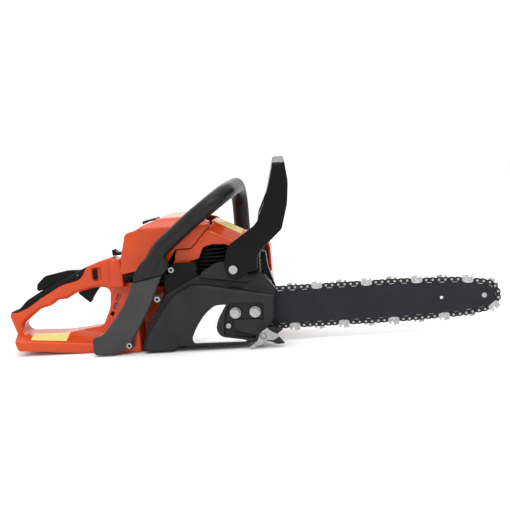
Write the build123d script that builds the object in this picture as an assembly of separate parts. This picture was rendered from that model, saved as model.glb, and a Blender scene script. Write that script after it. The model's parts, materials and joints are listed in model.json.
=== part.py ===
from build123d import *

import os
from math import acos, atan2, cos, hypot, pi, sin, tan

# A petrol chainsaw with a 14 inch bar, built as its separate pieces, in millimetres.
# +X runs forward along the guide bar, +Y to the operator's left, +Z up. The origin is on the base plane,
# straight below the crankshaft axis, in the middle plane of the cylinder.

# ---------------------------------------------------------------- driving dimensions
GAP = 0.1                   # between flat faces that meet across a joint
TURN = 0.05                 # radial clearance of a shaft in its bore
WALL = 3.0                  # thickness of the moulded shells
AXIS_Z = 55.0               # height of the crankshaft axis and of the bar's middle line

BAR_Y = -48.0               # middle plane of the bar and chain
BAR_THICK = 4.0
BAR_TAIL_X = 28.0
GROOVE_WIDE = 1.7
GROOVE_DEEP = 7.8
RAIL = 4.7                  # from the line of the rivets down to the bar's rails
STUDS_X = (50.0, 80.6)
STUD_R = 4.0
TENSION_Z = 36.0            # height of the chain tensioner's screw
PEG_Z = 45.5                # height of the peg that moves the bar
PEG_R = 2.4

PITCH = 9.535               # spacing of the rivets along the chain line, 3/8 inch low profile
DRIVE_LINKS = 52
TEETH = 7
SPROCKET_R = 21.4           # from a sprocket's centre to the chain's rivets
CHAIN_HALF = 30.0           # half height of the rivet line over the straight part of the bar
LINK_THICK = 1.3
STRAP_IN = 0.75             # from the chain's middle plane to the inner face of the side straps
STRAP_OUT = 1.95

CASE_Y = 38.0               # half width of the crankcase
BORE_R = 20.0
THROW = 16.0
WEB_IN = 8.0
WEB_OUT = 16.5
PIN_Z = AXIS_Z + THROW
PISTON_Z = 131.0            # piston pin at top dead centre
RIGHT_SHAFT_R = 6.5
LEFT_SHAFT_R = 7.0
DRUM_R = 37.0

COVER_FACE_Y = -84.0        # outer face of the clutch cover
COVER_STEP_Y = -66.0
COVER_BACK_Y = -40.0
RECESS_Y = -75.0
CATCHER_Y = -90.4           # outer face of the chain catcher
CATCHER_BOLT = (92.0, 20.0)
SPIKES_Y = (-86.6, -84.1)
GUARD_PIVOT = (54.0, 124.0)
GUARD_Y = (-87.0, -81.0)
GRIP_HALF = 17.0            # half width of the rear handle
TRIGGER_PIVOT = (-181.0, 108.0)
LOCKOUT_PIVOT = (-212.0, 121.0)
TANK_LEFT_Y = 86.0
TUBE_R = 13.5               # front handle
HOUSING_Y = 93.0            # outer face of the starter housing
ROPE = (-30.8, 74.5)        # where the starter rope runs up, x and y
FUEL_CAP = (-118.0, 58.0)
OIL_CAP = (18.0, 42.0)


# ---------------------------------------------------------------- helpers
def room_for_radius(last, here, after):
    """The largest corner radius at here whose arc takes less than half of each side."""
    into = atan2(here[1] - last[1], here[0] - last[0])
    onto = atan2(after[1] - here[1], after[0] - here[0])
    half_turn = abs((onto - into + pi) % (2 * pi) - pi) / 2
    shorter = min(hypot(here[0] - last[0], here[1] - last[1]), hypot(after[0] - here[0], after[1] - here[1]))
    return 0.48 * shorter / tan(half_turn) if half_turn > 0.001 else 0


def face_of(corners, place):
    """Flat face with corners (a, b) or (a, b, radius), where place(a, b) gives each point in space."""
    points = [place(corner[0], corner[1]) for corner in corners]
    radii = []
    for last, here, after in zip(corners[-1:] + corners[:-1], corners, corners[1:] + corners[:1]):
        asked = here[2] if len(here) > 2 else 0
        radii.append(min(asked, room_for_radius(last, here, after)))
    return Face(Wire(FilletPolyline(*points, radius=radii, close=True).edges()))


def slab_y(corners, low, high):
    """Prism of an (x, z) outline between two y planes."""
    return extrude(face_of(corners, lambda x, z: (x, low, z)), amount=high - low, dir=(0, 1, 0))


def slab_x(corners, low, high):
    """Prism of a (y, z) outline between two x planes."""
    return extrude(face_of(corners, lambda y, z: (low, y, z)), amount=high - low, dir=(1, 0, 0))


def slab_z(corners, low, high):
    """Prism of an (x, y) outline between two z planes."""
    return extrude(face_of(corners, lambda x, y: (x, y, low)), amount=high - low, dir=(0, 0, 1))


def box(x0, x1, y0, y1, z0, z1):
    return Pos((x0 + x1) / 2, (y0 + y1) / 2, (z0 + z1) / 2) * Box(x1 - x0, y1 - y0, z1 - z0)


def rod_x(y, z, r, low, high):
    return Pos((low + high) / 2, y, z) * Rot(0, 90, 0) * Cylinder(r, high - low)


def rod_y(x, z, r, low, high):
    return Pos(x, (low + high) / 2, z) * Rot(90, 0, 0) * Cylinder(r, high - low)


def rod_z(x, y, r, low, high):
    return Pos(x, y, (low + high) / 2) * Cylinder(r, high - low)


def rim(part, axis, *places):
    """The edges of a part that lie in the planes axis = place."""
    found = []
    for edge in part.edges():
        bounds = edge.bounding_box()
        low, high = getattr(bounds.min, axis), getattr(bounds.max, axis)
        if any(abs(low - place) < 0.001 and abs(high - place) < 0.001 for place in places):
            found.append(edge)
    return found


def turned(corners):
    """Twice the signed area of an outline."""
    pairs = zip(corners, corners[1:] + corners[:1])
    return sum(a[0] * b[1] - b[0] * a[1] for a, b in pairs)


def inset(corners, depth):
    """The outline moved inwards by depth, with its corner radii adjusted."""
    side = 1 if turned(corners) > 0 else -1
    moved = []
    for last, here, after in zip(corners[-1:] + corners[:-1], corners, corners[1:] + corners[:1]):
        in_x, in_z = here[0] - last[0], here[1] - last[1]
        out_x, out_z = after[0] - here[0], after[1] - here[1]
        in_long, out_long = hypot(in_x, in_z), hypot(out_x, out_z)
        normal_a = (-in_z / in_long * side, in_x / in_long * side)
        normal_b = (-out_z / out_long * side, out_x / out_long * side)
        spread = 1 + normal_a[0] * normal_b[0] + normal_a[1] * normal_b[1]
        convex = (in_x * out_z - in_z * out_x) * side > 0
        radius = here[2] if len(here) > 2 else 0
        radius = max(radius - depth, 0) if convex else radius + depth
        moved.append((here[0] + (normal_a[0] + normal_b[0]) * depth / spread,
                      here[1] + (normal_a[1] + normal_b[1]) * depth / spread, radius))
    return moved


def hexagon(x, z, across, low, high):
    """Hexagonal prism along Y, with its size across the flats."""
    reach = across / (2 * cos(pi / 6))
    corners = [(x + reach * cos(k * pi / 3), z + reach * sin(k * pi / 3)) for k in range(6)]
    return slab_y(corners, low, high)


def spoke(x, angle, stations):
    """Outline of an arm that stands out from (x, AXIS_Z). Stations are (radius, distance sideways)."""
    return [(x + r * cos(angle) - w * sin(angle), AXIS_Z + r * sin(angle) + w * cos(angle)) for r,
            w in stations]


def arm(angle, inner, outer, half):
    return spoke(0, angle, ((inner, -half), (outer, -half), (outer, half), (inner, half)))


def evenly(count):
    """Angles spread evenly round a circle."""
    return [k * 2 * pi / count for k in range(count)]


def cap_screw(x, z, face, head_r=4.5, head=4.0, shank_r=2.5, shank=10.0, out=-1):
    """Socket screw along Y: its head stands on the plane y = face, on the side that out gives."""
    top, deep = face + out * head, face + out * head * 0.4
    body = rod_y(x, z, head_r, min(face, top), max(face, top))
    body = fillet(rim(body, "Y", top), 0.6)
    body += rod_y(x, z, shank_r, min(face, face - out * shank), max(face, face - out * shank))
    return body - hexagon(x, z, head_r, min(top, deep), max(top, deep))


def save(node, *pieces):
    """Writes one node, as one solid or as a group of separate solids."""
    solids = [solid for piece in pieces for solid in piece.solids()]
    shape = solids[0] if len(solids) == 1 else Compound(children=solids)
    export_step(shape, f"parts/{node}.step")


# ---------------------------------------------------------------- chain line
def touch_angle(x, z, centre_x, side):
    """Angle on a sprocket circle, in its own frame, of the tangent line that passes through (x, z)."""
    away = hypot(x - centre_x, z)
    return atan2(z, x - centre_x) + side * acos(SPROCKET_R / away)


def on_circle(centre_x, angle):
    return (centre_x + SPROCKET_R * cos(angle), BAR_Y, AXIS_Z + SPROCKET_R * sin(angle))


def upper_line(nose_x):
    """The rivet line from the back of the drive sprocket, over the top, to the tip of the nose."""
    knee, shoulder, brow = (92.0, CHAIN_HALF), (300.0, CHAIN_HALF), (nose_x - 37.0, 26.9)
    leave = touch_angle(*knee, 0, 1)
    land = touch_angle(*brow, nose_x, -1)
    corners = [(x, BAR_Y, AXIS_Z + z) for x, z in (knee, shoulder, brow)]
    back = ThreePointArc(on_circle(0, pi), on_circle(0, (pi + leave) / 2), on_circle(0, leave))
    top = FilletPolyline(on_circle(0, leave), *corners, on_circle(nose_x, land), radius=[300, 900, 150])
    front = ThreePointArc(on_circle(nose_x, land), on_circle(nose_x, land / 2), on_circle(nose_x, 0))
    return Wire(back.edges() + top.edges() + front.edges())


TRIAL_X = 425.0
NOSE_X = TRIAL_X + DRIVE_LINKS * PITCH - upper_line(TRIAL_X).length
LINE = upper_line(NOSE_X)


def rivet(number):
    """Place of one rivet, (x, z), counted in the chain's running direction from behind the sprocket."""
    number %= 2 * DRIVE_LINKS
    if number >= DRIVE_LINKS:
        x, z = rivet(2 * DRIVE_LINKS - 1 - number)
        return x, 2 * AXIS_Z - z
    point = LINE.position_at((number + 0.5) / DRIVE_LINKS)
    return point.X, point.Z


def link(number, corners, low, high):
    """A link's plate between the rivets number and number + 1. Its outline runs (along, outwards)."""
    (x0, z0), (x1, z1) = rivet(number), rivet(number + 1)
    span = hypot(x1 - x0, z1 - z0)
    along, up = (x1 - x0) / span, (z1 - z0) / span
    mid_x, mid_z = (x0 + x1) / 2, (z0 + z1) / 2
    moved = [(mid_x + c[0] * along - c[1] * up, mid_z + c[0] * up + c[1] * along, *c[2:]) for c in corners]
    return slab_y(moved, BAR_Y + low, BAR_Y + high)


STRAP = [(-8.3, -3.8, 3.2), (-8.3, 3.6, 3.2), (-2.4, 3.6, 3), (0, 2.6, 6), (2.4, 3.6, 3), (8.3, 3.6, 3.2),
         (8.3, -3.8, 3.2)]
DRIVE = [(-8.3, -3.6, 3), (-8.3, 3.6, 3.2), (-2.4, 3.6, 3), (0, 2.4, 5), (2.4, 3.6, 3), (8.3, 3.6, 3.2),
         (8.3, -3.6, 3), (4.6, -4.4, 1), (2.6, -9.2, 1.2), (-2.0, -9.2, 1), (-4.8, -4.4, 1)]
CUTTER = [(-8.3, -3.8, 3.2), (-8.0, 6.4, 1), (0.8, 7.9), (0.4, 5.2, 1.2), (1.6, 3.0, 1.5), (3.6, 3.4, 1),
          (4.6, 6.9, 1), (6.8, 6.6, 1.2), (8.3, 3.0, 2), (8.3, -3.8, 3.2)]
CUTTER_WALL = [(-7.6, 3.4, 1), (-7.8, 6.4, 0.5), (0.8, 7.9), (0.3, 5.0, 0.8), (-0.6, 3.4, 0.6)]
CUTTER_TOP = [(-7.8, 5.2), (-7.8, 6.4), (0.8, 7.9), (0.7, 6.7)]


def side_plate(number, corners, side):
    """A strap on the chain's right (side -1) or left (side 1)."""
    low, high = sorted((side * STRAP_IN, side * STRAP_OUT))
    return link(number, corners, low, high)


def cutter(number, side):
    """A cutter: its side plate, the wall that stands out from it and the top plate bent over the chain."""
    wall = sorted((side * (STRAP_OUT - 0.2), side * 3.25))
    top = sorted((side * -0.3, side * 3.25))
    return side_plate(number, CUTTER, side) + link(number, CUTTER_WALL, *wall) + link(number, CUTTER_TOP,
                                                                                      *top)


def chain():
    cutters, straps, drives, rivets = [], [], [], []
    for pair in range(DRIVE_LINKS):
        drives.append(link(2 * pair, DRIVE, -LINK_THICK / 2, LINK_THICK / 2))
        for side, turn in ((-1, 3), (1, 1)):
            if pair % 4 == turn:
                cutters.append(cutter(2 * pair - 1, side))
            else:
                straps.append(side_plate(2 * pair - 1, STRAP, side))
    for number in range(2 * DRIVE_LINKS):
        x, z = rivet(number)
        shank = rod_y(x, z, 1.4, BAR_Y - STRAP_OUT, BAR_Y + STRAP_OUT)
        rivets.append(shank + rod_y(x, z, 1.8, BAR_Y - STRAP_OUT - 0.5, BAR_Y - STRAP_OUT)
                      + rod_y(x, z, 1.8, BAR_Y + STRAP_OUT, BAR_Y + STRAP_OUT + 0.5))
    save("chain_cutters", *cutters)
    save("chain_tie_straps", *straps)
    save("chain_drive_links", *drives)
    save("chain_rivets", *rivets)


# ---------------------------------------------------------------- guide bar and tensioner
def bar_face(depth):
    """Face of the bar in its middle plane, with its edge depth inside the rivet line."""
    lower = mirror(LINE, Plane.XY.offset(AXIS_Z))
    rim_line = Wire(LINE.edges() + lower.edges()).offset_2d(-depth)
    return Face(rim_line)


def bar_slab(depth, low, high):
    return extrude(Pos(0, low - BAR_Y, 0) * bar_face(depth), amount=high - low, dir=(0, 1, 0))


def sprocket_wheel(x, low, high, hub_r, tip_r, half_tooth, phase):
    """A spur sprocket whose narrow teeth stand between the drive links."""
    wheel = rod_y(x, AXIS_Z, hub_r, low, high)
    tip = half_tooth * 0.7
    for angle in evenly(TEETH):
        tooth = ((hub_r - 2, -half_tooth), (tip_r, -tip), (tip_r, tip), (hub_r - 2, half_tooth))
        wheel += slab_y(spoke(x, phase + angle, tooth), low, high)
    return wheel


def guide_bar():
    low, high = BAR_Y - BAR_THICK / 2, BAR_Y + BAR_THICK / 2
    groove = (BAR_Y - GROOVE_WIDE / 2, BAR_Y + GROOVE_WIDE / 2)
    tail = slab_y([(BAR_TAIL_X, 0, 44), (BAR_TAIL_X, 2 * AXIS_Z, 44), (NOSE_X + 30, 2 * AXIS_Z),
                   (NOSE_X + 30, 0)], low, high)
    bar = bar_slab(RAIL, low, high) & tail
    core = bar_slab(RAIL + GROOVE_DEEP, *groove) & box(BAR_TAIL_X + GROOVE_DEEP, 500, -60, 0, 0, 100)
    bar -= bar_slab(RAIL - 1, *groove) - core
    bar -= rod_y(NOSE_X, AXIS_Z, 16.5, *groove)
    slot = [(40, AXIS_Z - 4.3, 4.2), (40, AXIS_Z + 4.3, 4.2), (95, AXIS_Z + 4.3, 4.2),
            (95, AXIS_Z - 4.3, 4.2)]
    bar -= slab_y(slot, low, high)
    bar -= rod_y(57, PEG_Z, PEG_R + TURN, low, high)
    bar -= rod_y(57, 2 * AXIS_Z - PEG_Z, PEG_R + TURN, low, high)
    bar -= rod_y(364, AXIS_Z, 2.3, low, high)
    save("guide_bar", bar)

    wheel = sprocket_wheel(NOSE_X, BAR_Y - 0.7, BAR_Y + 0.7, 10.0, 15.5, 1.4, 0)
    save("nose_sprocket", wheel - rod_y(NOSE_X, AXIS_Z, 4.0, BAR_Y - 1, BAR_Y + 1))
    places = [(NOSE_X, 0, 3.9)] + [(NOSE_X - 21, s * 9, 1.8) for s in (-1, 0, 1)]
    save("bar_rivets", *[rod_y(x, AXIS_Z + z, r, low - 0.3, high + 0.3) for x, z, r in places])

    block = box(52, 62, -61, low - 0.05, TENSION_Z - 5, PEG_Z + 3.5) - rod_x(-56, TENSION_Z, 2.55, 50, 64)
    block += rod_y(57, PEG_Z, PEG_R, low - 0.5, high - 0.1)
    save("tension_block", block)
    rod = rod_x(-56, TENSION_Z, 2.5, 46, 76) + rod_x(-56, TENSION_Z, 4.2, 44, 47)
    save("tension_rod", rod)
    screw = rod_y(38, TENSION_Z, 3.0, -76, -60) + rod_y(38, TENSION_Z, 4.6, -62, -59)
    screw += rod_y(38, TENSION_Z, 3.9, RECESS_Y - 3.5, RECESS_Y - 0.2)
    screw -= box(34, 42, RECESS_Y - 4, RECESS_Y - 2, TENSION_Z - 0.6, TENSION_Z + 0.6)
    save("tension_screw", screw)


# ---------------------------------------------------------------- engine
def crankcase():
    outline = [(-54, 0, 6), (64, 0, 4), (94, 18, 10), (94, 90, 8), (40, 98, 4), (-40, 98, 4), (-54, 84, 6)]
    case = slab_y(outline, -CASE_Y, CASE_Y)
    case = fillet(rim(case, "Y", -CASE_Y, CASE_Y), 1.5)
    bar_pad = [(26, 38, 4), (26, 72, 4), (96, 74, 3), (96, 36, 3)]
    case += slab_y(bar_pad, BAR_Y + BAR_THICK / 2 + GAP, -CASE_Y + 2)
    above_cover = slab_y([(-58.5, 80), (-58.5, 120), (-6, 120), (-6, 100)], -65, -61.5)
    case += above_cover - slab_y(inset(COVER_FLANGE, -0.5), -70, -41)
    case += box(-58.5, -6, -65, -36, 117, 120) + box(-54, -6, -39.5, -36, 90, 120)
    beside_muffler = [(80, 80), (112, 84, 2), (101.5, 119, 20), (99.5, 143, 2), (92, 143, 2), (90, 92.5, 2),
                      (80, 90)]
    case += slab_y(beside_muffler, -39.5, -30)
    case -= rod_y(0, AXIS_Z, 31, -17, 17)
    case -= rod_z(0, 0, 21.5, AXIS_Z, 99)
    case -= rod_y(0, AXIS_Z, 16, -28, 28)
    case -= rod_y(0, AXIS_Z, 11, -CASE_Y - 1, CASE_Y + 1)
    case -= box(42, 88, -30, 32, 16, 84)
    case -= rod_x(*OIL_CAP, 12, 80, 96)
    for x in STUDS_X:
        case -= rod_y(x, AXIS_Z, STUD_R + TURN, -47, -31)
    save("crankcase", case)
    rings = [rod_y(0, AXIS_Z, 15.95, *sorted((s * 17.5, s * 27.5))) for s in (-1, 1)]
    bores = [rod_y(0, AXIS_Z, 7.05, *sorted((s * 17, s * 28))) for s in (-1, 1)]
    save("main_bearings", rings[0] - bores[0], rings[1] - bores[1])


def cylinder():
    barrel = rod_z(0, 0, 24, 98.1, 158) + rod_z(0, 0, 21.3, 90, 99)
    barrel += slab_z([(-30, -30, 6), (30, -30, 6), (30, 30, 6), (-30, 30, 6)], 98.1, 103)
    fin = [(-36, -34, 10), (36, -34, 10), (36, 34, 10), (-36, 34, 10)]
    for k in range(9):
        barrel += slab_z(fin, 108 + 6 * k, 110 + 6 * k)
    barrel += box(20, 39, -13, 13, 108, 130) + box(-39, -20, -13, 13, 106, 126)
    barrel -= rod_z(0, 0, BORE_R, 89, 151)
    barrel -= rod_x(0, 119, 8, 15, 40)
    barrel -= rod_x(0, 116, 8, -40, -15)
    barrel -= rod_z(0, 0, 5.05, 150, 160)
    save("cylinder", barrel)
    plug = rod_z(0, 0, 5, 152, 158.1) + rod_z(0, 0, 8, 158.1, 164) + rod_z(0, 0, 4.5, 164, 178)
    save("spark_plug", plug)
    boot = rod_z(0, 0, 7.5, 168, 188) + rod_x(0, 181, 5.5, -20, 0)
    boot = fillet(rim(boot, "Z", 188), 2)
    save("spark_plug_boot", boot - rod_z(0, 0, 4.55, 167, 179))


def piston():
    head = rod_z(0, 0, BORE_R - 0.08, PISTON_Z - 14, PISTON_Z + 18.5)
    head -= rod_z(0, 0, 16.5, PISTON_Z - 15, PISTON_Z + 13)
    head -= rod_z(0, 0, 21, PISTON_Z + 10, PISTON_Z + 12) - rod_z(0, 0, 18, PISTON_Z + 10, PISTON_Z + 12)
    head -= rod_y(0, PISTON_Z, 5.0, -21, 21)
    save("piston", head)
    rod = rod_y(0, PISTON_Z, 9, -5, 5) + rod_y(0, PIN_Z, 12, -5, 5)
    rod += slab_y([(-6, PISTON_Z), (-8, PIN_Z), (8, PIN_Z), (6, PISTON_Z)], -3, 3)
    rod -= rod_y(0, PISTON_Z, 5.0, -6, 6) + rod_y(0, PIN_Z, 6.55, -6, 6)
    save("connecting_rod", rod)
    save("rod_pins", rod_y(0, PISTON_Z, 4.95, -18, 18), rod_y(0, PIN_Z, 6.5, -WEB_IN + 0.2, WEB_IN - 0.2))


def crankshaft():
    halves = []
    for side, shaft_r, end in ((-1, RIGHT_SHAFT_R, 80), (1, LEFT_SHAFT_R, 67)):
        web = rod_y(0, AXIS_Z, 28, *sorted((side * WEB_IN, side * WEB_OUT)))
        for k in (-1, 1):
            web -= rod_y(k * 17, AXIS_Z + 9, 6, -20, 20)
        halves.append(web + rod_y(0, AXIS_Z, shaft_r, *sorted((side * WEB_IN, side * end))))
    save("crankshaft", *halves)
    wheel = rod_y(0, AXIS_Z, 40, 44, 52) + rod_y(0, AXIS_Z, 14, 40, 58)
    for angle in evenly(14):
        vane = spoke(0, angle, ((20, -1), (20, 1))) + spoke(0, angle + 0.25, ((39, 1), (39, -1)))
        wheel += slab_y(vane, 51, 61)
    wheel -= rod_y(0, AXIS_Z, LEFT_SHAFT_R + 0.02, 39, 62)
    save("flywheel", wheel)


def ignition():
    core = box(-24, 24, 46, 56, 98.5, 112) - box(-10, 10, 45, 57, 98, 102)
    save("ignition_coil", core + box(-16, 16, 44, 57, 103, 115))


def clutch():
    drum = rod_y(0, AXIS_Z, DRUM_R, -73, -55) - rod_y(0, AXIS_Z, DRUM_R - 2.5, -74, -57.5)
    drum += rod_y(0, AXIS_Z, 11.4, -57, -45.2)
    drum += sprocket_wheel(0, -51.5, -45.2, 11.4, 16.8, 1.7, pi)
    drum -= rod_y(0, AXIS_Z, 9, -74, -45)
    save("clutch_drum", drum)
    cage = rod_y(0, AXIS_Z, 8.95, -57, -45.4) - rod_y(0, AXIS_Z, RIGHT_SHAFT_R + TURN, -58, -45)
    save("drum_bearing", cage)
    hub = hexagon(0, AXIS_Z, 20, -72, -58.5)
    for angle in evenly(3):
        hub += slab_y(arm(angle, 8, 25, 4), -70, -60)
    save("clutch_hub", hub - rod_y(0, AXIS_Z, RIGHT_SHAFT_R + 0.02, -73, -58))
    ring = rod_y(0, AXIS_Z, 32.5, -71, -59.5) - rod_y(0, AXIS_Z, 22, -72, -59)
    shoes = []
    for angle in evenly(3):
        wedge = spoke(0, angle, ((0, 0), (53, -83), (96, 0), (53, 83)))
        shoes.append((ring & slab_y(wedge, -71, -59.5)) - slab_y(arm(angle, 18, 26, 4.3), -72, -59))
    save("clutch_shoes", *shoes)
    spring = rod_y(0, AXIS_Z, 21.6, -66.5, -63.5) - rod_y(0, AXIS_Z, 20.0, -67, -63)
    for angle in evenly(3):
        spring -= slab_y(arm(angle, 8, 26, 4.2), -71, -59)
    save("clutch_springs", spring)
    band = rod_y(0, AXIS_Z, 39.6, -70, -60) - rod_y(0, AXIS_Z, 38.4, -71, -59)
    band -= box(18, 60, -71, -59, 20, 90)
    save("brake_band", band)
    pump = slab_y([(-34, 26, 3), (-34, 42, 3), (6, 42, 3), (6, 26, 3)], -44.5, -CASE_Y - GAP)
    pump += rod_x(-41.3, 34, 3, -42, -30)
    save("oil_pump", pump)


def intake():
    body = box(-74, -48, -18, 18, 102, 132) + rod_x(0, 116, 13, -80, -39.2)
    body -= rod_x(0, 116, 8, -81, -39)
    save("carburettor", body)
    frame = slab_x([(-38, 122, 6), (-38, 174, 8), (40, 174, 8), (40, 122, 6)], -112, -84)
    frame = fillet(rim(frame, "X", -112), 3)
    save("air_filter", frame)


def muffler():
    body = slab_y([(40, 99, 5), (40, 134, 5), (84, 136, 6), (84, 99, 5)], -32, 34)
    body = fillet(rim(body, "Y", -32, 34), 3)
    save("muffler", body + box(39.1, 42, -14, 14, 108, 130))
    shield = slab_x([(-34, 94, 4), (-34, 139, 6), (38, 139, 6), (38, 94, 4)], 86, 88)
    for k in range(5):
        z = 100 + 7 * k
        shield -= slab_x([(-22, z, 1.4), (-22, z + 3, 1.4), (24, z + 3, 1.4), (24, z, 1.4)], 85, 89)
    save("muffler_guard", shield)


# ---------------------------------------------------------------- handles
GRIP_OUTER = [(-174, 0, 6), (-208, 0, 8), (-318, 9, 5), (-334, 60, 3), (-331, 67, 4), (-319, 69, 8),
              (-302, 85, 30), (-276, 99, 60), (-196, 134, 40), (-172, 142, 20), (-152, 147, 4),
              (-146, 143, 3), (-147, 110, 3), (-104, 116, 3), (-104, 0, 4)]
GRIP_HOLE = [(-309, 31, 9), (-312, 46, 10), (-281, 69, 12), (-262, 73.5, 9), (-248, 82.5, 9), (-234, 83, 9),
             (-216, 92.5, 12), (-180, 99.5, 14), (-160, 96, 14), (-164, 64, 40), (-178, 36, 12),
             (-240, 29, 80)]
LOCKOUT_SLOT = [(-293, 80.5), (-293, 130), (-205, 145), (-205, 111.5), (-226, 107.5)]
VENTS = ((-147, 80.8, 12), (-152.4, 66.7, 12), (-159.5, 54.7, 8))
GUARD_RISE = 0.083          # how fast the guard under the rear grip rises backwards
SEAM = ((-104, 113.2), (-56, 122.4))  # line where the side bracket meets the front handle
SEAM_GAP = 0.5
BRACKET_SCREWS = ((-68, 85), (-119, 15))


def handle_insert_outline(depth):
    """Rubber along the back of the rear handle, from its heel to the switch."""
    corners = [(-336, 66), (-319, 66), (-300, 73, 30), (-276, 88, 40), (-240, 107, 60), (-207, 114, 20),
               (-193, 138), (-200, 150)]
    return inset(corners, depth)


def rear_handle():
    grip = slab_y(GRIP_OUTER, -GRIP_HALF, GRIP_HALF) - slab_y(GRIP_HOLE, -GRIP_HALF, GRIP_HALF)
    edges = [edge for edge in rim(grip, "Y", -GRIP_HALF, GRIP_HALF) if edge.center().X < -150]
    grip = fillet(edges, 7)
    near = [(-176, 0, 6), (-176, 27, 10), (-159, 34, 40), (-126, 74, 60), (-110, 99, 20), (-103, 116, 2),
            (-70, 116, 4), (-62, 104, 4), (-62, 0, 6)]
    neck = slab_y(near, -30, 36)
    tank = slab_y(near, 34, TANK_LEFT_Y)
    tank = fillet(rim(tank, "Y", TANK_LEFT_Y), 8)
    flank = slab_y(near[:5] + [(-104.5, 110), (-104.5, 0)], -69, -28)
    flank = fillet(rim(flank, "Y", -69), 3)
    profile = [(-54, -3, 3), (-54, 12.5, 5), (-14, 28), (18, 28, 8), (18, -3, 3)]
    section = face_of(profile, lambda y, z: (-170, y, z))
    apron = extrude(section, amount=165, dir=Vector(-1, 0, GUARD_RISE).normalized())
    apron = apron & (Pos(8, 0, 0) * slab_y(GRIP_OUTER, -60, 60))
    apron -= slab_y(GRIP_HOLE, -60, 60)
    bulkhead = slab_y([(-152, 100), (-152, 141), (-146, 143.5, 3), (-134.5, 145.5, 2), (-131.8, 122, 2),
                       (-131.8, 100)], -34, 36)
    body = grip + neck + tank + flank + apron + fillet(rim(bulkhead, "Y", -34, 36), 1.5)
    body -= slab_y(inset(near, WALL), 20, TANK_LEFT_Y - WALL)
    body -= box(-103, -60, -34, 40, 97, 125)
    body -= rod_y(*FUEL_CAP, 13, 70, 90)
    body -= box(-226, -172, -6.5, 6.5, 78, 118.5)
    body -= slab_y(LOCKOUT_SLOT, -7.5, 7.5)
    body -= box(-187, -172, -20, -14, 111, 131)
    for x, z, tall in VENTS:
        body -= Pos(x, -GRIP_HALF, z) * Rot(0, 30, 0) * Box(5, 8, tall)
    ear = rod_y(-68, 85, 5, -71.9, -29) - slab_y(inset(COVER_FLANGE, -0.4), -80, -29)
    body += ear.solids().sort_by(SortBy.VOLUME)[-1]
    body -= rod_y(*TRIGGER_PIVOT, 2.05, -14, 14)
    body -= rod_y(*LOCKOUT_PIVOT, 2.05, -14, 14)
    insert = slab_y(handle_insert_outline(0), -40, 40)
    save("rear_handle", body - insert)
    rubber = grip & slab_y(handle_insert_outline(0.05), -40, 40)
    rubber -= slab_y(LOCKOUT_SLOT, -7.5, 7.5)
    rubber -= rod_y(*LOCKOUT_PIVOT, 2.05, -20, 20)
    save("rear_grip_rubber", rubber)


def throttle():
    body = slab_y([(-175, 101, 3), (-183, 94, 6), (-191, 84, 6), (-197.5, 72.5, 2.5), (-206, 80, 12),
                   (-217, 90, 3), (-214, 100, 3), (-186, 114, 5), (-176, 114, 5)], -5.5, 5.5)
    body = fillet(rim(body, "Y", -5.5, 5.5), 1.5)
    save("throttle_trigger", body - rod_y(*TRIGGER_PIVOT, 2.05, -6, 6))
    lever = slab_y([(-287, 96, 4), (-284, 110, 10), (-270, 122, 12), (-230, 129, 30), (-207, 128, 5),
                    (-207, 117, 4), (-228, 113, 20)], -6.8, 6.8)
    lever = fillet(rim(lever, "Y", -6.8, 6.8), 2.5)
    save("throttle_lockout", lever - rod_y(*LOCKOUT_PIVOT, 2.05, -8, 8))
    save("trigger_pins", rod_y(*TRIGGER_PIVOT, 2.0, -13, 13), rod_y(*LOCKOUT_PIVOT, 2.0, -13, 13))


def choke_and_switch():
    knob = slab_y([(-152.5, 148.2, 0.5), (-153, 158, 2), (-149, 158, 2), (-145, 153.5, 2), (-139.5, 153, 1),
                   (-139.5, 148.2, 0.5)], -7, 7)
    knob += rod_x(0, 150.8, 1.6, -141, -132)
    save("choke_knob", knob)
    button = slab_y([(-184.5, 112.5, 2), (-184.5, 129.5, 2), (-178.5, 129.5, 2), (-178.5, 112.5, 2)], -18.6,
                    -14.4)
    save("stop_switch", button)


def caps():
    x, z = FUEL_CAP
    fuel = rod_y(x, z, 12.95, 76, TANK_LEFT_Y + GAP) + rod_y(x, z, 18, TANK_LEFT_Y + GAP, TANK_LEFT_Y + 9)
    fuel = fillet(rim(fuel, "Y", TANK_LEFT_Y + 9), 1.5)
    save("fuel_cap", fuel + box(x - 13, x + 13, TANK_LEFT_Y + 8, TANK_LEFT_Y + 12, z - 2, z + 2))
    y, z = OIL_CAP
    oil = rod_x(y, z, 11.95, 84, 94.1) + rod_x(y, z, 16, 94.1, 102)
    oil = fillet(rim(oil, "X", 102), 1.5)
    save("oil_cap", oil + box(101, 105, y - 11, y + 11, z - 2, z + 2))


HANDLE_LINE = [(-84, -80, 122), (-56, -80, 163), (-4, -79, 204), (47, -74, 240), (47, 107.5, 243),
               (47, 107.5, 46), (18, 107.5, 18), (-98, 107.5, 18)]
HANDLE_BENDS = [70, 120, 40, 42, 26, 26]


def tube(radius, line, bends):
    path = FilletPolyline(*line, radius=bends)
    start = path @ 0
    direction = path % 0
    ring = Plane(origin=start, z_dir=direction) * Circle(radius)
    return sweep(ring, path=path)


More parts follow.
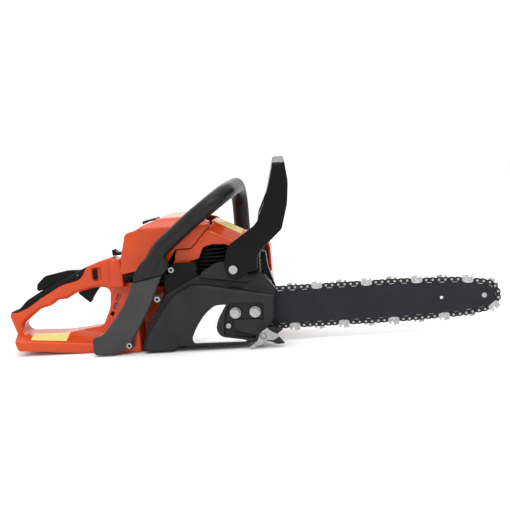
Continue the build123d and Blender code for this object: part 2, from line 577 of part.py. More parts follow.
def front_handle():
    handle = tube(TUBE_R, HANDLE_LINE, HANDLE_BENDS)
    root = slab_y([(-106, 100), (-101.5, 126, 30), (-84, 150, 30), (-50, 152, 20), (-46, 134, 8),
                   (-58, 118), (-62, 100)], -88, -72)
    root = fillet(rim(root, "Y", -88, -72), 4)
    (back, back_z), (front, front_z) = SEAM
    rise = (front_z - back_z) / (front - back) * 20
    below = slab_y([(back - 80, -10), (back - 80, back_z - 4 * rise), (front + 20, front_z + rise),
                    (front + 20, -10)], -100, -60)
    foot = rod_y(-84, 18, 10, TANK_LEFT_Y + GAP, 107)
    save("front_handle", handle + root - below + foot)
    bracket = slab_y([(-99, 135), (-112, 95, 30), (-126, 73, 60), (-143, 52, 60), (-160, 33, 20),
                      (-177, 29, 5), (-177, 2, 6), (-141, 2, 20), (-120, 13, 20), (-96, 49, 60),
                      (-82, 72, 60), (-52, 135)], -86, -72)
    bracket = fillet(rim(bracket, "Y", -86, -72), 3.5) & Pos(0, 0, -SEAM_GAP) * below
    for x, z in BRACKET_SCREWS:
        bracket += rod_y(x, z, 6.4, -82, -72)
    save("handle_side_bracket", bracket)


def mounts():
    pads = [rod_x(y, z, 9, -61.9, -54.1) for y, z in ((-22, 20), (24, 20), (0, 78))]
    upper = slab_y([(-46, 122, 5), (-44, 136, 6), (-6, 136, 6), (-4, 121, 5)], -74, -58)
    save("vibration_mounts", *pads, upper)


def screws():
    right = [cap_screw(x, z, -82, shank=20) for x, z in BRACKET_SCREWS] + [cap_screw(-44, 128, -74)]
    left = [cap_screw(x, z, HOUSING_Y, out=1) for x, z in ((-44, 48), (88, 22), (86, 146), (-30, 146))]
    save("screws", *right, *left, cap_screw(*CATCHER_BOLT, CATCHER_Y + 2.6, head_r=3.6, head=2.8, shank=16))


# ---------------------------------------------------------------- covers
COVER_FLANGE = [(-104, 1, 2), (-102, 10, 30), (-93, 36, 40), (-72, 70, 30), (-60, 89, 14), (-14, 112, 30),
                (2, 118, 20), (22, 114, 30), (46, 104, 6), (62, 103, 2), (64, 110, 2), (98, 110, 4),
                (101, 104, 3), (113, 88, 3), (110, 44, 20), (80, 7, 8), (66, 4.5, 4), (-46, 6.5, 3),
                (-50, 1, 3)]
COVER_FACE = [(-98, 3, 4), (-88, 30, 40), (-64, 66, 40), (-41, 91, 14), (-15, 103, 20), (6, 102, 60),
              (46, 94, 60), (100, 83, 20), (111.5, 80, 3), (108.5, 46, 20), (77, 9, 10), (66, 7, 4),
              (-44, 9, 3), (-49, 3, 3)]


def clutch_cover():
    body = slab_y(COVER_FLANGE, COVER_STEP_Y, COVER_BACK_Y)
    body = fillet(rim(body, "Y", COVER_STEP_Y), 1.5)
    face = slab_y(COVER_FACE, COVER_FACE_Y, COVER_STEP_Y + 1)
    face = fillet(rim(face, "Y", COVER_FACE_Y), 4)
    ear = slab_y([(-2, 112), (2, 121, 6), (26, 134, 6), (58, 134, 8), (72, 118, 8), (72, 100)], -70, -60)
    body += face + ear
    hollow = slab_y(inset(COVER_FACE, WALL + 0.5), COVER_FACE_Y + WALL, COVER_STEP_Y + WALL + 1)
    hollow += slab_y(inset(COVER_FLANGE, WALL), COVER_STEP_Y + WALL, COVER_BACK_Y)
    boss = slab_y([(41, 50, 3), (41, 70, 3), (96, 70, 3), (96, 50, 3)], -84, BAR_Y - BAR_THICK / 2 - GAP)
    floor = slab_y([(26, 12, 4), (26, 78, 4), (104, 74, 4), (104, 40, 4), (82, 12, 4)], COVER_FACE_Y + 1,
                   RECESS_Y + 1.6)
    body = body - hollow + ((boss + floor) & slab_y(inset(COVER_FACE, 1), -83, -40))
    body += rod_y(*CATCHER_BOLT, 11, COVER_FACE_Y, -66)
    platform = slab_y([(46.5, 46, 2), (92, 44, 3), (94, 35, 8), (84, 20, 4), (80, 19, 2), (46.5, 29, 2)],
                      COVER_FACE_Y + 1.5, RECESS_Y)
    body -= slab_y([(43, 72, 3), (94.5, 70, 3), (94, 46, 6), (79, 15, 3), (30.5, 22.5, 3), (35, 56, 12)],
                   COVER_FACE_Y - 1, RECESS_Y)
    body += fillet(rim(platform, "Y", COVER_FACE_Y + 1.5), 1.5)
    body -= box(74, 120, -55.5, COVER_BACK_Y + 1, 13, 95)
    for x in STUDS_X:
        body -= rod_y(x, AXIS_Z, STUD_R + 0.3, -85, -40)
    body -= rod_y(38, TENSION_Z, 3.06, -85, -60)
    body -= rod_y(*GUARD_PIVOT, 4.05, -75, -55)
    save("clutch_cover", body)
    studs = [rod_y(x, AXIS_Z, STUD_R, -83, -32) for x in STUDS_X]
    save("bar_studs", *studs)
    nuts = []
    for x in STUDS_X:
        nut = hexagon(x, AXIS_Z, 13, RECESS_Y - 8, RECESS_Y - 1.5) + rod_y(x, AXIS_Z, 8.6, RECESS_Y - 2,
                                                                           RECESS_Y - 0.02)
        nuts.append(nut - rod_y(x, AXIS_Z, STUD_R, -84, -74))
    save("bar_nuts", *nuts)


def guard():
    plate = slab_y([(44, 114, 6), (55, 107, 10), (64, 109, 12), (76, 118, 6), (90, 119, 4), (92, 143, 12),
                    (100, 152, 20), (132, 180, 10), (143, 218, 60), (146.5, 250, 60), (144, 276, 2),
                    (143, 280.5, 1.5), (129.5, 277.5, 5), (123.5, 271.5, 4), (118.4, 253, 60),
                    (102, 202, 40), (90, 188, 30), (52, 163, 12), (45, 154, 8), (40, 130, 20)], *GUARD_Y)
    plate = fillet(rim(plate, "Y", *GUARD_Y), 1.2)
    blade = slab_y([(96, 196, 2), (113, 231, 60), (121, 262, 60), (127, 287, 2), (134, 287, 2),
                    (131, 262, 30), (121, 231, 60), (102, 193, 2)], -84, 58)
    blade += slab_y([(123, 270, 2), (128, 287), (143.5, 287), (143.8, 275, 2), (128, 271, 3)], -84, 14)
    blade -= slab_x([(-90, 280), (14, 287), (70, 250), (70, 320), (-90, 320)], 80, 160)
    blade -= slab_x([(-62, 200, 10), (-62, 236, 12), (36, 228, 12), (36, 200, 10)], 80, 160)
    turn = Pos(130, -84, 0) * Rot(0, 0, 6) * Pos(-130, 84, 0)
    body = plate + turn * blade
    body -= rod_y(*GUARD_PIVOT, 4.06, -90, -78)
    save("hand_guard", body)
    bolt = rod_y(*GUARD_PIVOT, 4.0, -88, -56) + rod_y(*GUARD_PIVOT, 6.5, -91, GUARD_Y[0] - GAP)
    bolt += rod_y(*GUARD_PIVOT, 6.0, GUARD_Y[1] + GAP, -70)
    save("guard_pivot_bolt", bolt)


def crowned(corners, low, high, side_z, slope):
    """An outline between two y planes, under a crowned top whose side edges follow a line.

    The side edges run at height side_z over x = 0 and fall by slope forwards.
    """
    middle = (low + high) / 2
    profile = [(low, 60), (low, side_z, 5), (low + 24, side_z + 12, 60), (middle, side_z + 19, 80),
               (high - 24, side_z + 12, 60), (high, side_z, 5), (high, 60)]
    start, reach = -200.0, 400.0
    skin = face_of(profile, lambda y, z: (start, y, z - start * slope))
    arch = extrude(skin, amount=reach * hypot(1, slope), dir=Vector(1, 0, -slope).normalized())
    return slab_y(corners, low, high) & arch


REAR_TOP = [(-131, 122, 4), (-127, 152, 60), (-118, 186, 8), (-99, 190.5, 3), (-94, 195, 3), (-80, 200, 30),
            (-56, 208.5, 60), (-22, 210.5, 60), (15.5, 196), (18.4, 190.6), (12, 185), (-15, 156.5, 2),
            (-39, 156.5), (-53, 137, 4), (-104, 126, 3)]
REAR_HOLLOW = [(-130, 100), (-124, 151, 60), (-114.5, 182.5, 8), (-95, 189.5, 20), (-79, 196.8, 30),
               (-56, 205, 60), (-22, 207, 60), (40, 190), (40, 100)]
FRONT_TOP = [(-38, 155.6), (-14.6, 155.6), (12.6, 184.4), (19.4, 190.6), (16.4, 195.5), (36, 189, 40),
             (62, 177.5, 40), (80, 165, 6), (80, 141, 6), (66, 146, 20), (40, 159, 20), (20, 161, 8),
             (4, 157, 8), (-4, 139, 6), (-17, 136, 4), (-27, 129, 4), (-46, 130, 4)]
FRONT_HOLLOW = [(-60, 100), (-60, 214), (14, 192.5), (34, 186, 40), (60.5, 174, 40), (77, 162, 6), (77, 100)]
COVER_LOW, COVER_HIGH = -52.0, 59.0
LATCH_PIVOT = (-75.8, 202.4)
LATCH_SLOPE = 9.5
REAR_FALL, FRONT_FALL = 0.0, 0.545     # how fast the covers' top edges fall forwards


def shell_under(outline, hollow, fall):
    """A crowned cover, open underneath and along the seam between the two covers."""
    inner = crowned(hollow, COVER_LOW + WALL, COVER_HIGH - WALL, 192 - WALL * hypot(1, fall), fall)
    return crowned(outline, COVER_LOW, COVER_HIGH, 192, fall) - inner


def top_covers():
    rear = shell_under(REAR_TOP, REAR_HOLLOW, REAR_FALL)
    lie = Pos(-86, 0, 201) * Rot(0, -LATCH_SLOPE, 0)
    rear -= lie * Pos(0.3, 0, 5) * Box(22.4, 30.6, 13) + rod_y(*LATCH_PIVOT, 2.6, -15.3, 15.3)
    rear -= lie * Pos(-10, 0, -1.4) * Box(3.6, 30.6, 4.8)
    save("filter_cover", rear)
    latch = fillet((lie * Box(21, 30, 2.8)).edges(), 1)
    latch += fillet((lie * Pos(-9.5, 0, -1.4) * Box(2, 30, 4)).edges().filter_by(Axis.Y), 0.8)
    save("cover_latch", latch + rod_y(*LATCH_PIVOT, 2.2, -15, 15))
    save("cylinder_cover", shell_under(FRONT_TOP, FRONT_HOLLOW, FRONT_FALL))


def starter():
    outline = [(-92, 10, 14), (-92, 112, 20), (-44, 164, 24), (40, 170, 60), (84, 164, 12), (97, 140, 20),
               (97, 10, 16)]
    shell = slab_y(outline, CASE_Y + 0.2, HOUSING_Y)
    shell = fillet(rim(shell, "Y", HOUSING_Y), 5)
    shell -= slab_y(inset(outline, WALL), CASE_Y, HOUSING_Y - WALL)
    shell -= box(-100, 110, 30, COVER_HIGH + 1, 99, 180)
    shell -= box(-100, -53, 30, TANK_LEFT_Y + 1, 0, 180)
    shell -= box(-100, -53, 30, 100, 0, 122)
    for k in range(-5, 6):
        reach = (46 ** 2 - (k * 8) ** 2) ** 0.5
        z = AXIS_Z + k * 8
        for low, high in ((max(-reach, -44), -9), (9, reach)):
            if high - low > 8:
                slot = [(low, z - 1.9, 1.8), (low, z + 1.9, 1.8), (high, z + 1.9, 1.8), (high, z - 1.9, 1.8)]
                shell -= slab_y(slot, HOUSING_Y - 5, HOUSING_Y + 1)
    shell += rod_y(0, AXIS_Z, 5, 69, HOUSING_Y - 1)
    shell -= rod_z(*ROPE, 4.05, 150, 180)
    save("starter_housing", shell)

    pulley = rod_y(0, AXIS_Z, 33, 70, 79) - (rod_y(0, AXIS_Z, 40, 72, 77) - rod_y(0, AXIS_Z, 28.8, 71, 78))
    save("starter_pulley", pulley - rod_y(0, AXIS_Z, 5.06, 69, 80))
    save("rewind_spring", rod_y(0, AXIS_Z, 25, 80, 88) - rod_y(0, AXIS_Z, 9, 79, 89))
    save("starter_rope", rod_z(*ROPE, 1.8, AXIS_Z, 178))
    grip = rod_x(ROPE[1], 188, 8, ROPE[0] - 32, ROPE[0] + 32)
    grip = fillet(grip.edges(), 3) + rod_z(*ROPE, 6, 172, 188)
    save("starter_grip", grip - rod_z(*ROPE, 2.0, 170, 184))


def bar_side_trim():
    spikes = slab_y([(86, 16, 3), (90, 28, 5), (99, 31.5, 3), (106, 32, 1), (123, 28, 0.8), (114, 22, 8),
                     (111.5, 18, 4), (116, 15.5, 3), (124, 6, 0.8), (112, 5, 12), (104, 9, 6), (96, 12, 4)],
                    *SPIKES_Y)
    save("bumper_spikes", spikes - rod_y(*CATCHER_BOLT, 2.6, -92, -80))
    catcher = slab_y([(70.5, 1, 1), (78, 1, 1), (79.5, 5, 1), (87, 5.5, 3), (94, 10, 4), (98, 13.5, 3),
                      (107, 12.3, 3), (115, 17, 1.5), (113.5, 21.5, 2), (106, 25, 3), (101, 29, 2),
                      (98.5, 32, 1), (93, 28.5, 3), (87, 24, 5), (84, 16, 4), (80, 10, 3), (70.5, 4.8, 1)],
                     CATCHER_Y, SPIKES_Y[0] - GAP)
    catcher = fillet(rim(catcher, "Y", CATCHER_Y), 0.5)
    catcher -= rod_y(*CATCHER_BOLT, 5.6, CATCHER_Y - 1, CATCHER_Y + 2.6)
    save("chain_catcher", catcher - rod_y(*CATCHER_BOLT, 2.6, -92, -80))


os.makedirs("parts", exist_ok=True)
chain()
guide_bar()
crankcase()
cylinder()
piston()
crankshaft()
ignition()
clutch()
intake()
muffler()
rear_handle()
throttle()
choke_and_switch()
caps()
front_handle()
mounts()
screws()
clutch_cover()
guard()
top_covers()
starter()
bar_side_trim()
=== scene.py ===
import json
from math import cos, pi, radians, sin

import bpy
import bmesh
from mathutils import Matrix, Vector
from mathutils.bvhtree import BVHTree


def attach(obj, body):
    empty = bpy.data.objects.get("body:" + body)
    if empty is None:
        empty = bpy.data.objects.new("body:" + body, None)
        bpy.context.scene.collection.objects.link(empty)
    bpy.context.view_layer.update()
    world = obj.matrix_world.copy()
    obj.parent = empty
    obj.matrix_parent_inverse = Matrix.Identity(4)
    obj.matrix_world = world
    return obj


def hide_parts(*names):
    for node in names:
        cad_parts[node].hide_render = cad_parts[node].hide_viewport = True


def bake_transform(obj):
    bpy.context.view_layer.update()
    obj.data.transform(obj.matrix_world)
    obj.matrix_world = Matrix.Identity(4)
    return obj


# A petrol chainsaw with glossy orange covers, satin black guard and clutch cover, and a painted bar.
# Metres. +X runs forward along the bar, +Y to the operator's left, +Z up.

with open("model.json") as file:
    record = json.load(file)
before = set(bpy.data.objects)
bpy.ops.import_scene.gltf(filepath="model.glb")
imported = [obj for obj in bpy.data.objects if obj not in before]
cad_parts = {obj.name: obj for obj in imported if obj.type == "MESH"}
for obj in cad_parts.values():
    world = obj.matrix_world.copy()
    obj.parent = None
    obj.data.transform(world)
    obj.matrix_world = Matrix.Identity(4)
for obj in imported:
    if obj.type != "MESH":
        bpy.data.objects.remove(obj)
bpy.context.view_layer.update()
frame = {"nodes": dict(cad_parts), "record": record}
nodes = frame["nodes"]
slot_of = {part["node"]: part["material_slot"] for part in frame["record"]["subparts"]}
bodies = frame["record"]["behaviour"]["bodies"]
body_of = {node: body for body, members in bodies.items() for node in members}


# ---------------------------------------------------------------- camera, light and floor
VIEW_YAW, VIEW_UP, VIEW_ROLL = radians(7.0), radians(7.0), radians(-4.69)
VIEW_AT = Vector((0.084, -0.048, 0.139))
VIEW_FAR = 1.5
LENS = 68.4
SENSOR = 36.0
LIGHTS_AIM = Vector((0.06, 0, 0.1))
SKY = 1.1
LIGHTS = (      # name, place, size and watts
    ("key", (0.4, -1.4, 1.4), (1.2, 0.2), 11),
    ("top", (-0.2, 0.0, 1.7), (1.8, 1.2), 10),
    ("left", (-0.5, 1.5, 1.1), (1.2, 0.6), 5),
)
FLOOR_ACROSS = 12
FLOOR_BELOW = 0.0004


def make_camera():
    look = Vector((-sin(VIEW_YAW) * cos(VIEW_UP), cos(VIEW_YAW) * cos(VIEW_UP), -sin(VIEW_UP)))
    right = Vector((cos(VIEW_YAW), sin(VIEW_YAW), 0))
    up = right.cross(look)
    turned_right = cos(VIEW_ROLL) * right + sin(VIEW_ROLL) * up
    turned_up = cos(VIEW_ROLL) * up - sin(VIEW_ROLL) * right
    camera = bpy.data.objects.new("camera", bpy.data.cameras.new("camera"))
    camera.data.lens = LENS
    camera.data.sensor_width = SENSOR
    camera.matrix_world = Matrix.Translation(VIEW_AT - look * VIEW_FAR) @ Matrix((
        (turned_right.x, turned_up.x, -look.x, 0), (turned_right.y, turned_up.y, -look.y, 0),
        (turned_right.z, turned_up.z, -look.z, 0), (0, 0, 0, 1)))
    bpy.context.scene.collection.objects.link(camera)
    bpy.context.scene.camera = camera


def area_light(name, at, size, power):
    lamp = bpy.data.lights.new(name, "AREA")
    lamp.shape, lamp.size, lamp.size_y = "RECTANGLE", size[0], size[1]
    lamp.energy = power
    thing = bpy.data.objects.new(name, lamp)
    thing.location = at
    thing.rotation_euler = (LIGHTS_AIM - Vector(at)).to_track_quat("-Z", "Y").to_euler()
    bpy.context.scene.collection.objects.link(thing)


def make_studio():
    world = bpy.data.worlds.new("studio")
    world.use_nodes = True
    world.node_tree.nodes["Background"].inputs["Color"].default_value = (1, 1, 1, 1)
    world.node_tree.nodes["Background"].inputs["Strength"].default_value = SKY
    bpy.context.scene.world = world
    bpy.context.scene.view_settings.view_transform = "Standard"
    for light in LIGHTS:
        area_light(*light)
    bpy.ops.mesh.primitive_plane_add(size=FLOOR_ACROSS, location=(0, 0, -FLOOR_BELOW))
    floor = bpy.context.object
    floor.name = "floor"
    white = surface("floor", (0.93, 0.93, 0.93), 0.7, mottle=0.01, mottle_size=3, specular=0.1)
    floor.data.materials.append(white)


# ---------------------------------------------------------------- materials
NOISE_LOW, NOISE_HIGH = 0.3, 0.7    # the part of a noise's range that carries its variation
SCRATCH_DEEP = 0.0002
SCRATCH_SIZE = 0.004
SCRATCH_STRETCH = (0.06, 1, 1)
GRAIN_DEPTH_PER_SIZE = 0.4
ROUGHNESS_SIZE_PER_MOTTLE = 0.3


def surface(name, colour, rough, metal=0.0, coat=0.0, coat_rough=0.08, grain=0.0, grain_size=0.0005,
            mottle=0.04, mottle_size=0.03, rough_spread=0.06, streak=None, scratch=0.0, specular=0.5):
    """A procedural material: colour and roughness that drift, a fine grain, and scratches under it."""
    made = bpy.data.materials.new(name)
    made.use_nodes = True
    tree = made.node_tree
    shader = tree.nodes["Principled BSDF"]
    shader.inputs["Metallic"].default_value = metal
    shader.inputs["Coat Weight"].default_value = coat
    shader.inputs["Coat Roughness"].default_value = coat_rough
    shader.inputs["Specular IOR Level"].default_value = specular
    place = tree.nodes.new("ShaderNodeTexCoord").outputs["Object"]

    def noise(size, detail=3.0, stretch=(1, 1, 1)):
        mapping = tree.nodes.new("ShaderNodeMapping")
        mapping.inputs["Scale"].default_value = stretch
        tree.links.new(place, mapping.inputs["Vector"])
        texture = tree.nodes.new("ShaderNodeTexNoise")
        texture.inputs["Scale"].default_value = 1.0 / size
        texture.inputs["Detail"].default_value = detail
        tree.links.new(mapping.outputs["Vector"], texture.inputs["Vector"])
        return texture.outputs["Fac"]

    def ramp(value, low, high):
        node = tree.nodes.new("ShaderNodeValToRGB")
        first, last = node.color_ramp.elements
        first.position, last.position = NOISE_LOW, NOISE_HIGH
        first.color, last.color = (*low, 1), (*high, 1)
        tree.links.new(value, node.inputs["Fac"])
        return node.outputs["Color"]

    def spread(value, low, high):
        node = tree.nodes.new("ShaderNodeMapRange")
        node.inputs["From Min"].default_value = NOISE_LOW
        node.inputs["From Max"].default_value = NOISE_HIGH
        node.inputs["To Min"].default_value = low
        node.inputs["To Max"].default_value = high
        tree.links.new(value, node.inputs["Value"])
        return node.outputs["Result"]

    darker = [c * (1 - mottle) for c in colour]
    lighter = [min(c * (1 + mottle), 1) for c in colour]
    paint = ramp(noise(mottle_size), darker, lighter)
    tree.links.new(paint, shader.inputs["Base Color"])
    if streak:
        rough_map = noise(streak[0], 2.0, streak[1])
    else:
        rough_map = noise(mottle_size * ROUGHNESS_SIZE_PER_MOTTLE, 4.0)
    roughness = spread(rough_map, max(rough - rough_spread, 0.02), min(rough + rough_spread, 1))
    tree.links.new(roughness, shader.inputs["Roughness"])
    if grain:
        bump = tree.nodes.new("ShaderNodeBump")
        bump.inputs["Strength"].default_value = grain
        bump.inputs["Distance"].default_value = grain_size * GRAIN_DEPTH_PER_SIZE
        tree.links.new(noise(grain_size, 2.0), bump.inputs["Height"])
        if scratch:
            marks = tree.nodes.new("ShaderNodeBump")
            marks.inputs["Strength"].default_value = scratch
            marks.inputs["Distance"].default_value = SCRATCH_DEEP
            tree.links.new(noise(SCRATCH_SIZE, 3.0, SCRATCH_STRETCH), marks.inputs["Height"])
            tree.links.new(marks.outputs["Normal"], bump.inputs["Normal"])
        tree.links.new(bump.outputs["Normal"], shader.inputs["Normal"])
    return made


FINISHES = {
    "orange_plastic": dict(colour=(0.51, 0.050, 0.006), rough=0.20, coat=0.25, coat_rough=0.05,
                           grain=0.04, grain_size=0.0012, mottle=0.05, specular=0.2),
    "black_plastic": dict(colour=(0.003, 0.003, 0.0035), rough=0.30, grain=0.12, grain_size=0.0006,
                          mottle=0.2, specular=0.12),
    "cover_plastic": dict(colour=(0.018, 0.018, 0.0195), rough=0.32, grain=0.15, grain_size=0.0006,
                          mottle=0.15, specular=0.14),
    "charcoal_plastic": dict(colour=(0.010, 0.010, 0.010), rough=0.36, grain=0.3, grain_size=0.0007,
                             mottle=0.12, specular=0.2),
    "side_bracket": dict(colour=(0.042, 0.042, 0.044), rough=0.5, grain=0.3, grain_size=0.0007,
                         mottle=0.1, specular=0.15),
    "soft_rubber": dict(colour=(0.004, 0.004, 0.005), rough=0.55, grain=0.35, grain_size=0.0007,
                        mottle=0.2, specular=0.12),
    "bar_paint": dict(colour=(0.0155, 0.016, 0.020), rough=0.38, grain=0.1, grain_size=0.0005,
                      mottle=0.1, streak=(0.004, (0.05, 1, 1)), scratch=0.15, specular=0.14),
    "chain_steel": dict(colour=(0.42, 0.42, 0.43), rough=0.34, metal=1.0, grain=0.2, grain_size=0.0004,
                        mottle=0.3, mottle_size=0.003),
    "chain_dark": dict(colour=(0.020, 0.020, 0.021), rough=0.4, metal=0.5, grain=0.2, grain_size=0.0004,
                       mottle=0.35, mottle_size=0.004, specular=0.3),
    "zinc": dict(colour=(0.36, 0.36, 0.355), rough=0.30, metal=1.0, grain=0.2, grain_size=0.0004,
                 mottle=0.15, mottle_size=0.003),
    "steel": dict(colour=(0.26, 0.26, 0.27), rough=0.36, metal=1.0, grain=0.15, grain_size=0.0004,
                  mottle=0.12, mottle_size=0.005),
    "cast_alloy": dict(colour=(0.36, 0.36, 0.36), rough=0.5, metal=0.9, grain=0.5, grain_size=0.0008,
                       mottle=0.15, mottle_size=0.006),
    "fin_alloy": dict(colour=(0.007, 0.007, 0.0075), rough=0.5, metal=0.2, grain=0.5, grain_size=0.0008,
                      mottle=0.2, mottle_size=0.006, specular=0.2),
    "heat_steel": dict(colour=(0.008, 0.008, 0.008), rough=0.55, metal=0.2, grain=0.4,
                       grain_size=0.0006, mottle=0.25, mottle_size=0.01, specular=0.2),
    "ceramic": dict(colour=(0.78, 0.77, 0.74), rough=0.25, coat=0.4, mottle=0.03),
    "filter_felt": dict(colour=(0.45, 0.42, 0.33), rough=0.9, grain=0.8, grain_size=0.0015, mottle=0.1,
                        mottle_size=0.004),
    "cord": dict(colour=(0.62, 0.61, 0.56), rough=0.75, grain=0.8, grain_size=0.0008, mottle=0.06,
                 mottle_size=0.002),
    "white_label": dict(colour=(0.80, 0.80, 0.79), rough=0.35, mottle=0.03, mottle_size=0.01),
    "yellow_label": dict(colour=(0.66, 0.55, 0.16), rough=0.4, mottle=0.05, mottle_size=0.01),
    # painted light: a pale lilac grey standing in for the bright background seen through the vent slots
    "vent_painted_light": dict(colour=(0.16, 0.15, 0.19), rough=0.5, grain=0.3, grain_size=0.0006, mottle=0.15,
                      mottle_size=0.004),
}


def make_materials():
    return {name: surface(name, **finish) for name, finish in FINISHES.items()}


# ---------------------------------------------------------------- shaping
MM = 0.001
SMOOTHING = 0.5
EASE_LIMIT = 0.48       # an eased corner takes at most this share of either side


def modifier(piece, kind, **settings):
    made = piece.modifiers.new(kind.lower(), kind)
    for name, value in settings.items():
        setattr(made, name, value)
    return made


def settle(piece):
    """Applies a piece's modifiers to its mesh."""
    graph = bpy.context.evaluated_depsgraph_get()
    mesh = bpy.data.meshes.new_from_object(piece.evaluated_get(graph))
    piece.modifiers.clear()
    old = piece.data
    piece.data = mesh
    bpy.data.meshes.remove(old)
    return piece


def add_piece(name, mesh, body, slot, node=None, look=None):
    piece = bpy.data.objects.new(name, mesh)
    bpy.context.scene.collection.objects.link(piece)
    piece.data.materials.clear()
    piece.data.materials.append(looks[look or slot])
    for polygon in piece.data.polygons:
        polygon.use_smooth = True
    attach(piece, body)
    if node:
        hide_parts(node)
    return piece


def moulded(node, voxel, rounds, look=None):
    """A copy of a CAD shell with its edges softened the way a moulding's are."""
    piece = bpy.data.objects.new(node + "_moulding", nodes[node].data.copy())
    bpy.context.scene.collection.objects.link(piece)
    modifier(piece, "REMESH", mode="VOXEL", voxel_size=voxel, use_smooth_shade=True)
    modifier(piece, "SMOOTH", factor=SMOOTHING, iterations=rounds)
    settle(piece)
    mesh = piece.data.copy()
    bpy.data.objects.remove(piece)
    return add_piece(node + "_moulding", mesh, body_of[node], slot_of[node], node, look)


def rounded(corners, steps=6):
    """Points of a closed outline whose corners (a, b, radius) are eased by curves."""
    points = []
    for last, here, after in zip(corners[-1:] + corners[:-1], corners, corners[1:] + corners[:1]):
        middle = Vector(here[:2])
        back, on = Vector(last[:2]) - middle, Vector(after[:2]) - middle
        reach = min(here[2], back.length * EASE_LIMIT, on.length * EASE_LIMIT)
        first, second = middle + back.normalized() * reach, middle + on.normalized() * reach
        for k in range(steps + 1):
            t = k / steps
            points.append(first * (1 - t) ** 2 + middle * (2 * t * (1 - t)) + second * t ** 2)
    return points


def prism(corners, place, low, high):
    """Mesh of an outline in millimetres between two depths. place(a, b, depth) gives a point in space."""
    mesh = bpy.data.meshes.new("prism")
    work = bmesh.new()
    outline = rounded(corners)
    near = [work.verts.new(Vector(place(p.x, p.y, low)) * MM) for p in outline]
    far = [work.verts.new(Vector(place(p.x, p.y, high)) * MM) for p in outline]
    work.faces.new(near)
    work.faces.new(far[::-1])
    for k in range(len(near)):
        after = (k + 1) % len(near)
        work.faces.new((near[after], near[k], far[k], far[after]))
    bmesh.ops.recalc_face_normals(work, faces=work.faces)
    bmesh.ops.triangulate(work, faces=[face for face in work.faces if len(face.verts) > 4])
    work.to_mesh(mesh)
    work.free()
    return mesh


def upright(x, z, y):
    return (x, y, z)


def decal(name, corners, along, target, look, rows=10, columns=24, proud=0.00025):
    """A thin label: a grid between four corners, cast along a direction onto another piece's surface."""
    tree = BVHTree.FromObject(target, bpy.context.evaluated_depsgraph_get())
    a, b, c, d = (Vector(corner) * MM for corner in corners)
    direction = Vector(along).normalized()
    work = bmesh.new()
    grid = []
    for row in range(rows + 1):
        v = row / rows
        line = []
        for column in range(columns + 1):
            u = column / columns
            start = (a * (1 - u) + b * u) * (1 - v) + (d * (1 - u) + c * u) * v
            hit, normal = tree.ray_cast(start, direction)[:2]
            line.append(work.verts.new(hit + normal * proud) if hit else None)
        grid.append(line)
    for low, high in zip(grid, grid[1:]):
        for k in range(columns):
            corner_set = (low[k], low[k + 1], high[k + 1], high[k])
            if all(corner_set):
                work.faces.new(corner_set)
    mesh = bpy.data.meshes.new(name)
    work.to_mesh(mesh)
    work.free()
    return add_piece(name, mesh, "chassis", None, look=look)


def share(node, name, keep, slot, look=None):
    """The part of a CAD node's mesh whose faces pass a test, as a piece with its own finish."""
    mesh = nodes[node].data.copy()
    work = bmesh.new()
    work.from_mesh(mesh)
    bmesh.ops.delete(work, geom=[face for face in work.faces if not keep(face.calc_center_median())],
                     context="FACES")
    work.to_mesh(mesh)
    work.free()
    smooth = [polygon.use_smooth for polygon in mesh.polygons]
    piece = add_piece(name, mesh, body_of[node], slot, node, look)
    piece.data.polygons.foreach_set("use_smooth", smooth)
    return piece


COVER_WALL_Y, COVER_WALL_Z = -0.0362, 0.0785
MUFFLER_WALL_Y = (-0.0396, -0.0299)
MUFFLER_WALL_X, MUFFLER_WALL_Z = 0.0805, 0.0799


def in_black_wall(centre):
    """The moulded walls on the crankcase, above the clutch cover and beside the muffler."""
    above = centre.y < COVER_WALL_Y and centre.z > COVER_WALL_Z and centre.x < 0.0
    near, far = MUFFLER_WALL_Y
    beside = near < centre.y < far and centre.x > MUFFLER_WALL_X and centre.z > MUFFLER_WALL_Z
    return above or beside


ROPE_AT = (-0.0308, 0.0745)
ROPE_LOW, ROPE_HIGH = 0.055, 0.178
STRAND_COUNT = 3


def rope():
    """The starter rope: three twisted strands up from the pulley to the grip."""
    radius, ridge, turns_per_metre, sides, rings = 0.00165, 0.00015, 90.0, 24, 150
    mesh = bpy.data.meshes.new("rope")
    work = bmesh.new()
    loops = []
    for ring in range(rings + 1):
        z = ROPE_LOW + (ROPE_HIGH - ROPE_LOW) * ring / rings
        loop = []
        for side in range(sides):
            angle = 2 * pi * side / sides
            r = radius + ridge * cos(STRAND_COUNT * (angle - 2 * pi * turns_per_metre * z))
            loop.append(work.verts.new((ROPE_AT[0] + r * cos(angle), ROPE_AT[1] + r * sin(angle), z)))
        loops.append(loop)
    for lower, upper in zip(loops, loops[1:]):
        for k in range(sides):
            work.faces.new((lower[k], lower[(k + 1) % sides], upper[(k + 1) % sides], upper[k]))
    work.faces.new(loops[0][::-1])
    work.faces.new(loops[-1])
    work.to_mesh(mesh)
    work.free()
    piece = bpy.data.objects.new("starter_rope_twisted", mesh)
    bpy.context.scene.collection.objects.link(piece)
    piece.data.materials.append(looks["cord"])
    for polygon in mesh.polygons:
        polygon.use_smooth = True
    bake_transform(piece)
    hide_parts("starter_rope")


def dress():
    """Every CAD node gets the material of its slot."""
    for node, thing in nodes.items():
        thing.data.materials.clear()
        thing.data.materials.append(looks[slot_of[node]])


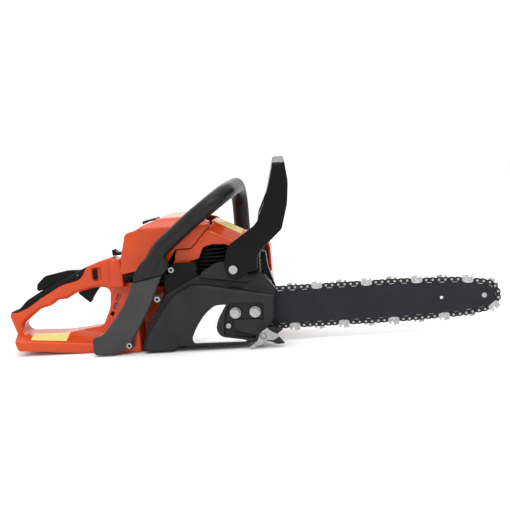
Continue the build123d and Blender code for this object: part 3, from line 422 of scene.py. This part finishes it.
# ---------------------------------------------------------------- labels and small pieces, in millimetres
CRESCENT = [(38, 70.5, 3), (20, 70, 6), (3, 57, 12), (-12, 36, 12), (-19, 20, 6), (-16, 13.2, 2),
            (62, 11.6, 1), (66, 12.6, 1), (60, 14.6, 1), (26, 20.5, 8), (19, 33, 12), (25, 51, 12)]
CRESCENT_Y = (-84.35, -83.9)
HANDLE_LABEL = (-290, -231, -47, -22, 60)
FRONT_LABEL = (24, 62, -24, 8, 260)
INTAKE = [(-127, 108, 2), (-124, 128, 3), (-104, 133, 3), (-56, 140, 3), (-50, 128, 3), (-60, 108, 3)]
INTAKE_Y = (-46, 53)
# vent plates: x, z, height and finish; the grey ones are painted light seen through the slots
VENTS = ((-147, 80.8, 12, "vent_painted_light"), (-152.4, 66.7, 12, "vent_painted_light"),
         (-159.5, 54.7, 8, "black_plastic"))
VENT_LEAN = radians(30)
VENT_HALF = 2.4
VENT_GAP = 0.1
VENT_Y = (-14.4, -13.2)
# places of the painted shade in the screws' sockets: x, z and depth
SOCKET_SHADES = ((-68, 85, -83.55), (-119, 15, -83.55), (-44, 128, -75.55))
SOCKET_REACH = 2.5
SOCKET_ROUND = 0.1
SOCKET_IN, SOCKET_OUT = 0.3, 0.1
NOSE_RIVET_R = 0.0039           # metres, as is the next
NOSE_RIVET_NEAR = 0.006
DOWN = (0, 0, -1)


def patch_above(x0, x1, y0, y1, height):
    """Four corners of a flat patch over the saw, from which a label is laid down."""
    return ((x0, y0, height), (x1, y0, height), (x1, y1, height), (x0, y1, height))


def add_labels(handle, front_cover):
    """The plain white crescent on the clutch cover, and two plain yellow patches."""
    add_piece("cover_label", prism(CRESCENT, upright, *CRESCENT_Y), "chassis", None, look="white_label")
    decal("handle_label", patch_above(*HANDLE_LABEL), DOWN, handle, "yellow_label")
    decal("front_label", patch_above(*FRONT_LABEL), DOWN, front_cover, "yellow_label")


def leaning(x, z):
    """Gives the place of a point in a vent's own leaning frame."""
    def place(a, b, y):
        along, across = cos(VENT_LEAN), sin(VENT_LEAN)
        return (x + a * along + b * across, y, z - a * across + b * along)
    return place


# Plates in the vent pockets; the grey ones carry painted light in place of the background seen through
# the slots.
def add_vents():
    for number, (x, z, tall, look) in enumerate(VENTS):
        half = tall / 2 - VENT_GAP
        vent_plate = [(-VENT_HALF, -half, 1), (-VENT_HALF, half, 1),
                  (VENT_HALF, half, 1), (VENT_HALF, -half, 1)]
        add_piece(f"vent_{number}", prism(vent_plate, leaning(x, z), *VENT_Y), "chassis", "black_plastic",
                  look=look)


def add_painted_socket_shade():
    """Painted shade: dark hexagons at the bottoms of the screws' sockets, standing in for the shadow
    there.
    """
    corners = [(SOCKET_REACH * cos(k * pi / 3), SOCKET_REACH * sin(k * pi / 3)) for k in range(6)]
    for number, (x, z, y) in enumerate(SOCKET_SHADES):
        hexagon = [(x + a, z + b, SOCKET_ROUND) for a, b in corners]
        shade = prism(hexagon, upright, y - SOCKET_OUT, y + SOCKET_IN)
        add_piece(f"socket_shade_{number}", shade, "chassis", "black_plastic")


def share_out():
    """Nodes whose faces carry two finishes, each part as a piece of its own."""
    share("crankcase", "case_wall_black", in_black_wall, "cast_alloy", look="black_plastic")
    share("crankcase", "case_casting", lambda c: not in_black_wall(c), "cast_alloy")
    nose = max(vertex.co.x for vertex in nodes["bar_rivets"].data.vertices) - NOSE_RIVET_R
    share("bar_rivets", "nose_rivet", lambda c: abs(c.x - nose) < NOSE_RIVET_NEAR, "zinc")
    share("bar_rivets", "rivets_painted", lambda c: abs(c.x - nose) >= NOSE_RIVET_NEAR, "zinc",
          look="bar_paint")


# ---------------------------------------------------------------- the whole object
MOULDINGS = {       # voxel in metres, rounds of smoothing, and the finish where it isn't the slot's
    "rear_handle": (0.0011, 3),
    "filter_cover": (0.0010, 5),
    "cylinder_cover": (0.0010, 5),
    "clutch_cover": (0.0010, 3),
    "hand_guard": (0.0010, 4),
    "front_handle": (0.0014, 8),
    "handle_side_bracket": (0.0012, 4, "side_bracket"),
}

make_camera()
looks = make_materials()
make_studio()
dress()

mouldings = {node: moulded(node, *settings) for node, settings in MOULDINGS.items()}
rope()
add_labels(mouldings["rear_handle"], mouldings["cylinder_cover"])
add_vents()
add_painted_socket_shade()
add_piece("intake_base", prism(INTAKE, upright, *INTAKE_Y), "chassis", "black_plastic")
share_out()
